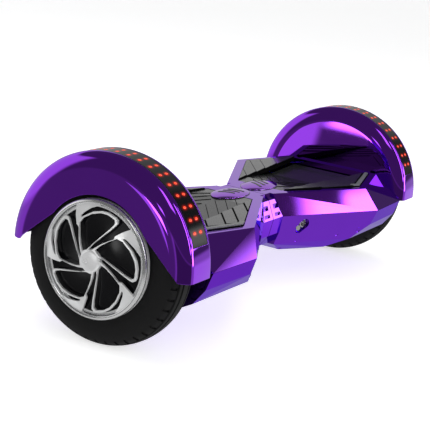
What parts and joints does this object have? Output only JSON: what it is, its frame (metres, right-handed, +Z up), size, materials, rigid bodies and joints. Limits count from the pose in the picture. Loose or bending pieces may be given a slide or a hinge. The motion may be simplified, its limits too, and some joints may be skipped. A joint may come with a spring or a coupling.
{
  "type": "self balancing hoverboard",
  "caption": "Self balancing hoverboard: twisting hourglass deck in purple chrome shells between hub motor wheels under round fenders with light strips.",
  "frame": {"origin": "middle of the board on the ground, under the waist", "axes": "+X along the wheel axles towards the half that holds the battery, +Y in the direction of travel, +Z up"},
  "size_m": [0.691, 0.234, 0.216],
  "materials": {
    "cast_aluminium": "die cast, satin",
    "steel": "turned and zinc plated",
    "bearing_steel": "ground",
    "copper_windings": "varnished copper wire on a steel core",
    "motor_shell": "machined",
    "trim_silver": "polished face with bright edges",
    "inlay_black": "gloss black",
    "tyre_rubber": "matte moulded rubber",
    "plated_fender": "mirror plated purple",
    "plated_top": "mirror plated purple",
    "plated_bottom": "mirror plated purple",
    "plated_leaf": "mirror plated purple",
    "strip_black": "smoked gloss black",
    "light_red": "lit red lens",
    "pad_rubber": "dark grey, satin, slatted",
    "tray_black": "satin black",
    "insert_grey": "grey satin",
    "board_green": "solder mask",
    "bronze": "sintered",
    "battery_wrap": "blue shrink wrap over steel cells",
    "socket_metal": "nickel plated",
    "button_metal": "nickel plated",
    "cable_black": "matte sleeve",
    "connector_white": "nylon"
  },
  "bodies": {
    "left_half": {"left_frame": "cast_aluminium", "left_axle_clamp": "steel", "left_clamp_bolts": "steel", "left_axle": "steel", "left_stator": "copper_windings", "left_fender": "plated_fender", "left_light_strip": "strip_black", "left_lights": "light_red", "left_top_shell": "plated_top", "left_bottom_shell": "plated_bottom", "left_deck_tray": "tray_black", "left_leaf_cover": "plated_leaf", "left_leaf_inserts": "insert_grey", "left_sensor_board": "board_green", "left_case_screws": "steel", "pivot_tube": "steel", "pivot_clip": "steel", "twist_stop_pin": "steel", "main_board": "board_green", "link_cable": "cable_black", "left_motor_cable": "cable_black"},
    "right_half": {"right_frame": "cast_aluminium", "right_axle_clamp": "steel", "right_clamp_bolts": "steel", "right_axle": "steel", "right_stator": "copper_windings", "right_fender": "plated_fender", "right_light_strip": "strip_black", "right_lights": "light_red", "right_top_shell": "plated_top", "right_bottom_shell": "plated_bottom", "right_deck_tray": "tray_black", "right_leaf_cover": "plated_leaf", "right_leaf_inserts": "insert_grey", "right_sensor_board": "board_green", "right_case_screws": "steel", "pivot_bushes": "bronze", "battery_pack": "battery_wrap", "battery_bracket": "steel", "charge_socket": "socket_metal", "right_motor_cable": "cable_black", "charge_lead": "cable_black", "link_connector": "connector_white"},
    "left_wheel": {"left_magnets": "steel", "left_rim": "motor_shell", "left_wheel_bearings": "bearing_steel", "left_tyre": "tyre_rubber", "left_hub_inlay": "inlay_black", "left_hub_trim": "trim_silver"},
    "right_wheel": {"right_magnets": "steel", "right_rim": "motor_shell", "right_wheel_bearings": "bearing_steel", "right_tyre": "tyre_rubber", "right_hub_inlay": "inlay_black", "right_hub_trim": "trim_silver"},
    "left_toe_pad": {"left_toe_pad": "pad_rubber"},
    "left_heel_pad": {"left_heel_pad": "pad_rubber"},
    "right_toe_pad": {"right_toe_pad": "pad_rubber"},
    "right_heel_pad": {"right_heel_pad": "pad_rubber"},
    "power_button": {"power_button": "button_metal"}
  },
  "joints": [
    {"name": "waist_twist", "type": "hinge", "parent": "left_half", "child": "right_half", "pos_m": [0, 0, 0.1], "axis": [1, 0, 0], "range_deg": [-10, 10]},
    {"name": "left_wheel_spin", "type": "hinge", "parent": "left_half", "child": "left_wheel", "pos_m": [-0.3055, 0, 0.1], "axis": [1, 0, 0], "continuous": true},
    {"name": "right_wheel_spin", "type": "hinge", "parent": "right_half", "child": "right_wheel", "pos_m": [0.3055, 0, 0.1], "axis": [1, 0, 0], "continuous": true},
    {"name": "left_toe_press", "type": "slide", "parent": "left_half", "child": "left_toe_pad", "axis": [0, 0, -1], "range_m": [0, 0.0015], "stiffness_N_per_m": 8000},
    {"name": "left_heel_press", "type": "slide", "parent": "left_half", "child": "left_heel_pad", "axis": [0, 0, -1], "range_m": [0, 0.0015], "stiffness_N_per_m": 8000},
    {"name": "right_toe_press", "type": "slide", "parent": "right_half", "child": "right_toe_pad", "axis": [0, 0, -1], "range_m": [0, 0.0015], "stiffness_N_per_m": 8000},
    {"name": "right_heel_press", "type": "slide", "parent": "right_half", "child": "right_heel_pad", "axis": [0, 0, -1], "range_m": [0, 0.0015], "stiffness_N_per_m": 8000},
    {"name": "power_press", "type": "slide", "parent": "right_half", "child": "power_button", "axis": [0.4171, 0.9089, 0], "range_m": [0, 0.0012], "stiffness_N_per_m": 1500}
  ]
}
